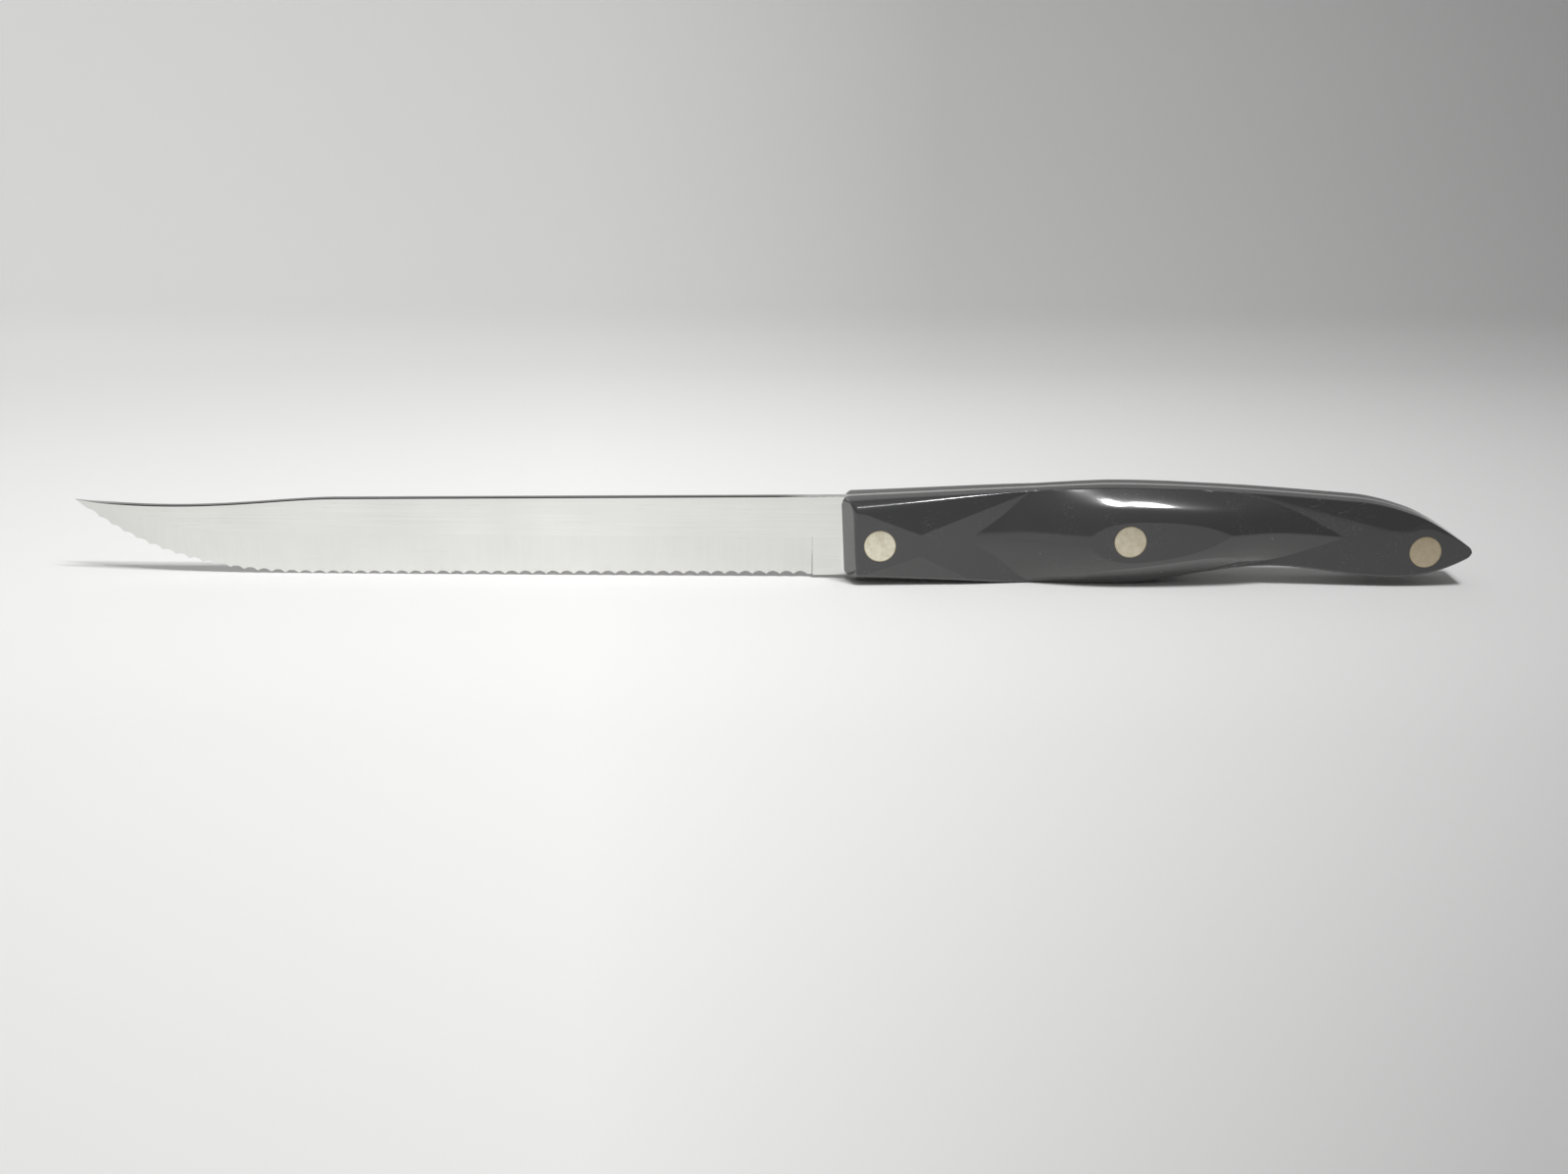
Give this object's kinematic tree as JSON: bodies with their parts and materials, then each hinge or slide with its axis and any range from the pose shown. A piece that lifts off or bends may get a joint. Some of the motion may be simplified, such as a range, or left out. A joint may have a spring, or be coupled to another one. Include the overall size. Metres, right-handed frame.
{
  "type": "carving knife",
  "caption": "Carving knife with a swept clip-point blade, a hollow-ground scalloped edge and a full tang between sculpted gloss-black handle scales held by flush rivets.",
  "frame": {"origin": "on the floor below the middle of the knife's length, in the middle plane of the tang", "axes": "+X from the blade's tip to the end of the handle, +Y to the scalloped side, +Z from the edge to the spine"},
  "size_m": [0.3112, 0.0178, 0.0221],
  "materials": {
    "blade_steel": "bright, with a fine lengthwise grain",
    "handle_plastic": "high gloss black",
    "rivet_metal": "bright nickel silver, lightly scratched"
  },
  "bodies": {
    "root": {"blade": "blade_steel", "left_scale": "handle_plastic", "right_scale": "handle_plastic", "front_rivet_sleeve": "rivet_metal", "front_rivet_post": "rivet_metal", "middle_rivet_sleeve": "rivet_metal", "middle_rivet_post": "rivet_metal", "rear_rivet_sleeve": "rivet_metal", "rear_rivet_post": "rivet_metal"}
  },
  "joints": []
}
